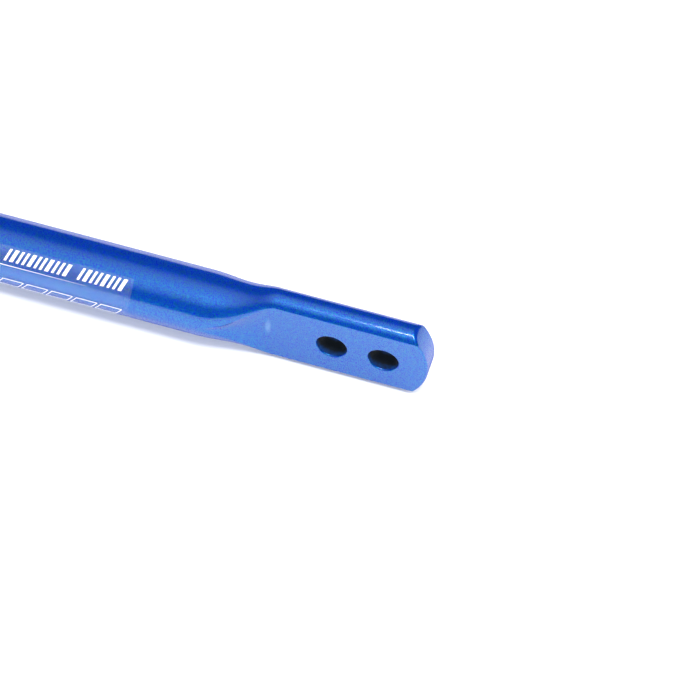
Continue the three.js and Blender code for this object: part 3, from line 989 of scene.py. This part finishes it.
def make_nipple(side, centre_x, material):
    """A grease nipple: shank, hexagon, neck, rounded head and the small dished hole in its end."""
    seat = WAIST_R + STRAP_THICKNESS + 0.4 * MM
    hex_top = seat + NIPPLE_HEX_HEIGHT
    flats = hexagon(NIPPLE_FLATS)

    def shape(angle, radius, index):
        on_hexagon = seat <= profile[index][1] <= hex_top and radius > NIPPLE_SHANK_R
        return min(flats(angle), radius) if on_hexagon else radius

    profile = [
        (2.5 * MM, WAIST_R - 2.5 * MM),
        (NIPPLE_SHANK_R, WAIST_R - 2.1 * MM),
        (NIPPLE_SHANK_R, seat),
        (3.85 * MM, seat),
        (4.7 * MM, seat + 0.4 * MM),
        (4.7 * MM, hex_top - 0.45 * MM),
        (3.8 * MM, hex_top),
        (NIPPLE_SHANK_R, hex_top),
        (2.2 * MM, hex_top + 1 * MM),
        (2.2 * MM, hex_top + 2 * MM),
    ]
    for k in range(9):
        bulge = math.sin(math.pi / 2 * k / 8)
        profile.append((mix(2.2, 3.2, bulge) * MM, hex_top + mix(2, 3.5, k / 8) * MM))
    profile += [(3.2 * MM, hex_top + 4.7 * MM)]
    for k in range(1, 9):
        drop = 1 - math.cos(math.pi / 2 * k / 8)
        profile.append((mix(3.2, 1.5, drop) * MM, hex_top + mix(4.7, 6.6, k / 8) * MM))
    profile += [
        (1.2 * MM, hex_top + 6.7 * MM),
        (0.85 * MM, hex_top + 6.6 * MM),
        (0.8 * MM, hex_top + 6.2 * MM),
        (0.55 * MM, hex_top + 6.42 * MM),
        (0.1 * MM, hex_top + 6.55 * MM),
    ]
    bm = turned(profile, on_axis(centre_x, 0, 0), 72, shape)
    shade(bm, 28)
    piece = new_piece(f"turned_nipple_{side}", bm, f"{side}_mount", material,
                      [f"grease_nipple_{side}"])
    weigh_normals(piece)


# ---------------- lock collars

def collar_outline():
    """The upper half's outline, from the front ear over the top to the rear ear and back by the bore."""
    ear_angle = math.asin(EAR_HALF_HEIGHT / COLLAR_R)
    bore_angle = math.asin(SPLIT_HALF / COLLAR_BORE_R)
    points = [(EAR_REACH, SPLIT_HALF), (EAR_REACH, EAR_HALF_HEIGHT)]
    for i in range(41):
        angle = mix(ear_angle, math.pi - ear_angle, i / 40)
        points.append((COLLAR_R * math.cos(angle), COLLAR_R * math.sin(angle)))
    points += [(-EAR_REACH, EAR_HALF_HEIGHT), (-EAR_REACH, SPLIT_HALF)]
    for i in range(49):
        angle = mix(math.pi - bore_angle, bore_angle, i / 48)
        points.append((COLLAR_BORE_R * math.cos(angle), COLLAR_BORE_R * math.sin(angle)))
    return points


def make_collar_half(side, part, material):
    """Half of a lock collar with bevelled edges and drilled ears; the upper one has screw seats."""
    low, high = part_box(f"collar_{part}_{side}")
    flip = 1 if part == "upper" else -1
    bm = bmesh.new()
    ends = [[bm.verts.new(on_axis(x, y, flip * z)) for y, z in collar_outline()] for x in (low.x, high.x)]
    bm.faces.new(ends[0])
    bm.faces.new(ends[1][::-1])
    count = len(ends[0])
    for i in range(count):
        j = (i + 1) % count
        bm.faces.new((ends[0][j], ends[0][i], ends[1][i], ends[1][j]))
    bmesh.ops.recalc_face_normals(bm, faces=bm.faces)
    sharp = [edge for edge in bm.edges if edge.calc_face_angle(0) > math.radians(35)]
    bmesh.ops.bevel(bm, geom=sharp, offset=COLLAR_BEVEL, segments=3, profile=0.5, affect="EDGES")
    shade(bm, 30)
    piece = new_piece(f"machined_collar_{part}_{side}", bm, "bar", material,
                      [f"collar_{part}_{side}"])
    middle = (low.x + high.x) / 2
    heights = sorted((flip * SPLIT_HALF, flip * EAR_HALF_HEIGHT))
    cutters = []
    for reach in (-SCREW_REACH, SCREW_REACH):
        place = on_axis(middle, reach, 0)
        cutters.append(moved(flared_hole(SCREW_HOLE_R, 0.3 * MM, *heights, 40), place))
        if part == "upper":
            seat = [(SCREW_SEAT_R, EAR_HALF_HEIGHT), (SCREW_SEAT_R, 2 * COLLAR_R)]
            cutters.append(turned(seat, place, 48))
    cut(piece, cutters)
    reshade(piece, 30)


def make_screw(name, material):
    """A socket-head cap screw with a helical thread and a knurled head."""
    low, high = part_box(name)
    seat = high.z - SCREW_HEAD_HEIGHT
    socket = hexagon(SOCKET_WIDTH)
    rows = [(0.4 * MM, low.z, "round"), (SCREW_SHANK_R - THREAD_DEPTH, low.z, "round")]
    z = low.z + 0.3 * MM
    while z < seat - 0.6 * MM:
        rows.append((SCREW_SHANK_R, z, "thread"))
        z += THREAD_PITCH / THREAD_STEPS
    rows += [
        (SCREW_SHANK_R, seat - 0.3 * MM, "round"),
        (SCREW_SHANK_R, seat, "round"),
        (SCREW_HEAD_R - 0.25 * MM, seat, "round"),
        (SCREW_HEAD_R, seat + 0.3 * MM, "knurl"),
        (SCREW_HEAD_R, high.z - 0.9 * MM, "knurl"),
    ]
    for k in range(1, 7):
        angle = math.pi / 2 * k / 6
        radius = SCREW_HEAD_R - HEAD_ROUNDING * (1 - math.cos(angle))
        rows.append((radius, high.z - HEAD_ROUNDING * (1 - math.sin(angle)), "round"))
    rows += [
        (3.2 * MM, high.z, "round"),
        (SOCKET_WIDTH / 2, high.z - 0.35 * MM, "socket"),
        (SOCKET_WIDTH / 2, high.z - SOCKET_DEPTH, "socket"),
        (0.2 * MM, high.z - SOCKET_DEPTH - 0.5 * MM, "round"),
    ]

    def shape(angle, radius, index):
        kind = rows[index][2]
        if kind == "socket":
            return socket(angle)
        if kind == "knurl":
            return radius - KNURL_DEPTH * (0.5 + 0.5 * math.cos(KNURLS * angle))
        if kind == "thread":
            phase = (rows[index][1] / THREAD_PITCH - angle / (2 * math.pi)) % 1.0
            return radius - THREAD_DEPTH * (1 - abs(2 * phase - 1))
        return radius

    centre = Vector(((low.x + high.x) / 2, (low.y + high.y) / 2, 0))
    bm = turned([(radius, z) for radius, z, _ in rows], centre, 4 * KNURLS, shape)
    shade(bm, 34)
    piece = new_piece(f"cap_{name}", bm, "bar", material, [name])
    weigh_normals(piece)


def make_washer(name, material):
    """A split spring washer with rounded edges; its two ends are cut on a slant."""
    low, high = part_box(name)
    centre_y = (low.y + high.y) / 2
    centre_x = low.x + WASHER_OUT_R
    r = WASHER_ROUNDING
    section = []
    for sx, sz, quarter in rounded_corners(3):
        for a, b in quarter:
            radius = WASHER_OUT_R if sx > 0 else WASHER_IN_R
            height = high.z if sz > 0 else low.z
            section.append((radius - sx * r * (1 - a), height - sz * r * (1 - b)))
    split = math.asin(WASHER_SPLIT / WASHER_IN_R)
    bm = bmesh.new()
    rings = []
    for i in range(WASHER_STEPS + 1):
        ring = []
        for radius, z in section:
            lean = WASHER_SLANT * (2 * (z - low.z) / (high.z - low.z) - 1)
            angle = mix(split, 2 * math.pi - split, i / WASHER_STEPS)
            angle += lean * abs(2 * i / WASHER_STEPS - 1)
            place = (centre_x + radius * math.cos(angle), centre_y + radius * math.sin(angle), z)
            ring.append(Vector(place))
        rings.append(ring)
    capped(bm, rings)
    shade(bm, 35)
    piece = new_piece(f"split_{name}", bm, "bar", material, [name])
    weigh_normals(piece)


# ---------------- label

def on_film(from_tip, angle, radius):
    """A place on the left arm's skin: its distance from the tip, and its angle up from outwards."""
    return Vector((-ARM_X - radius * math.cos(angle), TIP_Y + from_tip, AXIS_Z + radius * math.sin(angle)))


def skin_patch(bm, corners, inner_r, thickness, steps=(1, 6), lift=None):
    """A thin curved sheet between four (from_tip, angle) corners, given round the sheet."""
    columns, rows = steps
    layers = []
    for layer in (0, 1):
        grid = []
        for j in range(rows + 1):
            row = []
            for i in range(columns + 1):
                near = [mix(corners[0][k], corners[1][k], i / columns) for k in (0, 1)]
                far = [mix(corners[3][k], corners[2][k], i / columns) for k in (0, 1)]
                from_tip, angle = (mix(near[k], far[k], j / rows) for k in (0, 1))
                radius = inner_r + layer * thickness + (lift(from_tip, angle) if lift else 0)
                row.append(bm.verts.new(on_film(from_tip, angle, radius)))
            grid.append(row)
        layers.append(grid)
    for grid in layers:
        for lower, upper in zip(grid, grid[1:]):
            for i in range(columns):
                bm.faces.new((lower[i], lower[i + 1], upper[i + 1], upper[i]))
    rims = []
    for grid in layers:
        rim = grid[0][:-1] + [row[-1] for row in grid[:-1]] + grid[-1][:0:-1]
        rims.append(rim + [row[0] for row in grid[:0:-1]])
    for i in range(len(rims[0])):
        j = (i + 1) % len(rims[0])
        bm.faces.new((rims[0][i], rims[0][j], rims[1][j], rims[1][i]))


def wrinkle(from_tip, angle):
    """The film's end has lifted a little in two shallow folds near its lower corner."""
    from_end = from_tip - film_span[0]
    folds = math.exp(-from_end / WRINKLE_REACH) * (0.5 + 0.5 * math.sin(from_end * 1900 + 5 * angle))
    return WRINKLE_HEIGHT * folds * math.exp(-(((angle + 0.15) / 0.28) ** 2))


def make_film():
    """The clear film, wrapped part of the way round the left arm."""
    bm = bmesh.new()
    start, end = film_span
    low, high = FILM_ANGLES
    corners = [(start, low), (end, low), (end, high), (start, high)]
    skin_patch(bm, corners, FILM_R, FILM_THICKNESS, (200, 24), wrinkle)
    shade(bm, 40)
    new_piece("clear_label_film", bm, "bar", clear_film(), ["label_film"])


def slanted(from_tip, width, low, high, lean):
    """Corners of a slanted bar: its top leans towards the tip."""
    return [
        (from_tip, low),
        (from_tip + width, low),
        (from_tip + width - lean, high),
        (from_tip - lean, high),
    ]


def print_bars(bm, start):
    """Groups of plain slanted bars, in place of any wording."""
    place = start + 4 * MM
    for bars in BAR_GROUPS:
        for i in range(bars):
            width = BAR_WIDTHS[i % len(BAR_WIDTHS)]
            skin_patch(bm, slanted(place, width, *BAR_ANGLES, BAR_LEAN), INK_R, INK_THICKNESS)
            place += width + BAR_GAP
        place += GROUP_GAP


def paint_reflection_line(bm, start, end):
    """A painted reflection: one long white line where the tube's reflection of the floor begins, narrowing
    to a point at the end near the tip.
    """
    low, high = REFLECTION_LINE_ANGLES
    corners = [(start, high), (end, low), (end, high), (start, high + REFLECTION_LINE_POINT)]
    skin_patch(bm, corners, INK_R, INK_THICKNESS, (12, 1))


def print_outlines(bm, start, end):
    """A row of slanted outlines, each made of two sides, a bottom and a top."""
    low, high = OUTLINE_ANGLES
    edge = OUTLINE_LINE / INK_R
    inside = 1.05 * edge
    far = OUTLINE_WIDTH - OUTLINE_LINE
    place = start
    while place < end:
        outline = [
            slanted(place, OUTLINE_LINE, low + inside, high - inside, OUTLINE_LEAN),
            slanted(place + far, OUTLINE_LINE, low + inside, high - inside, OUTLINE_LEAN),
            slanted(place, OUTLINE_WIDTH, low, low + edge, 0),
            slanted(place - OUTLINE_LEAN, OUTLINE_WIDTH, high - edge, high, 0),
        ]
        for corners in outline:
            skin_patch(bm, corners, INK_R, INK_THICKNESS)
        place += OUTLINE_WIDTH + OUTLINE_GAP


def make_ink_and_reflection_line():
    """Everything that is printed on the film, and a painted reflection line in the same ink."""
    bm = bmesh.new()
    start, end = film_span
    print_bars(bm, start)
    # This line is a painted reflection, not print.
    paint_reflection_line(bm, start + 17 * MM, end - 3 * MM)
    print_outlines(bm, start + 5.5 * MM, end - 12 * MM)
    shade(bm, 40)
    new_piece("label_ink_and_reflection_line", bm, "bar", white_ink_and_reflection_line())


def make_mounts_and_collars():
    """Both sides' bush, saddle, nipple and lock collar, with one material for each kind of piece."""
    polyurethane = moulded_polyurethane()
    saddle_plate = plated_steel("zinc plate", (0.50, 0.51, 0.53), (0.68, 0.69, 0.70), 0.32)
    nipple_plate = plated_steel("yellow zinc", (0.46, 0.37, 0.17), (0.62, 0.52, 0.27), 0.26)
    aluminium = anodised_aluminium()
    oxide = black_oxide()
    spring = spring_steel()
    for side in SIDES:
        low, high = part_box(f"bush_{side}")
        centre_x = (low.x + high.x) / 2
        make_bush(side, centre_x, polyurethane)
        make_saddle(side, centre_x, saddle_plate)
        make_nipple(side, centre_x, nipple_plate)
        for part in ("upper", "lower"):
            make_collar_half(side, part, aluminium)
        for end in ("front", "rear"):
            make_screw(f"collar_screw_{side}_{end}", oxide)
            make_washer(f"spring_washer_{side}_{end}", spring)


make_mounts_and_collars()
make_film()
make_ink_and_reflection_line()


# ---------------- floor, light and camera

def make_floor():
    """A plain sheet of paper, just under the part."""
    bm = bmesh.new()
    signs = ((-1, -1), (1, -1), (1, 1), (-1, 1))
    corners = [bm.verts.new((sx * FLOOR_HALF, sy * FLOOR_HALF, 0)) for sx, sy in signs]
    bm.faces.new(corners)
    floor = add_mesh("floor", bm)
    floor.data.materials.append(floor_paper())
    floor.location.z = cad_box[0].z - 0.2 * MM


def make_softbox():
    """One narrow softbox that faces straight down over the left blade; the room gives the rest."""
    data = bpy.data.lights.new("softbox", "AREA")
    data.shape = "RECTANGLE"
    data.size, data.size_y = SOFTBOX_SIZE
    data.energy = SOFTBOX_WATTS
    far_end = TIP_Y + SOFTBOX_PAST_TIP
    light = add_to_scene("softbox", data)
    light.location = (-ARM_X - SOFTBOX_OUTWARD, far_end - data.size_y / 2, SOFTBOX_HEIGHT)


def make_world():
    """A white room for soft, even light. What shines in it sees dark flags round a soft overhead glow."""
    world = bpy.data.worlds.new("studio")
    bpy.context.scene.world = world
    world.use_nodes = True
    tree = world.node_tree
    new = tree.nodes.new
    link = tree.links.new
    room = tree.nodes["Background"]
    room.inputs["Color"].default_value = (*ROOM_LIGHT, 1)

    direction = new("ShaderNodeTexCoord").outputs["Generated"]
    towards = new("ShaderNodeVectorMath")
    towards.operation = "DOT_PRODUCT"
    towards.inputs[1].default_value = GLOW_TOWARDS
    link(direction, towards.inputs[0])
    glow = new("ShaderNodeMapRange")
    glow.interpolation_type = "SMOOTHERSTEP"
    glow.inputs["From Min"].default_value = math.cos(GLOW_REACH)
    glow.inputs["To Min"].default_value = FLAG_STRENGTH
    glow.inputs["To Max"].default_value = GLOW_STRENGTH
    link(towards.outputs["Value"], glow.inputs["Value"])
    flags = new("ShaderNodeBackground")
    flags.inputs["Color"].default_value = (0.97, 0.98, 1.0, 1)
    link(glow.outputs["Result"], flags.inputs["Strength"])

    rays = new("ShaderNodeLightPath")
    choice = new("ShaderNodeMixShader")
    link(rays.outputs["Is Glossy Ray"], choice.inputs["Fac"])
    link(room.outputs["Background"], choice.inputs[1])
    link(flags.outputs["Background"], choice.inputs[2])
    link(choice.outputs["Shader"], tree.nodes["World Output"].inputs["Surface"])


def make_camera():
    """Looks down on the outside of the left arm's end, from in front of its tip."""
    along = Vector((0, -1, 0))
    back = CAMERA_BACK
    sideways = (along - along.dot(back) * back).normalized()
    above = back.cross(sideways)
    right = math.cos(CAMERA_ROLL) * sideways + math.sin(CAMERA_ROLL) * above
    up = back.cross(right)
    hole = Vector((-ARM_X - BLADE_HALF, TIP_Y + HOLES_FROM_TIP[1], AXIS_Z))
    target = hole + 7.1 * MM * right - 1.1 * MM * up
    data = bpy.data.cameras.new("camera")
    data.lens = LENS
    data.clip_end = 100
    distance = VIEW_WIDTH * LENS / data.sensor_width
    camera = add_to_scene("camera", data)
    place = Matrix.Translation(target + distance * back)
    camera.matrix_world = place @ Matrix((right, up, back)).transposed().to_4x4()
    bpy.context.scene.camera = camera


make_floor()
make_softbox()
make_world()
make_camera()
bpy.context.scene.view_settings.view_transform = "Standard"
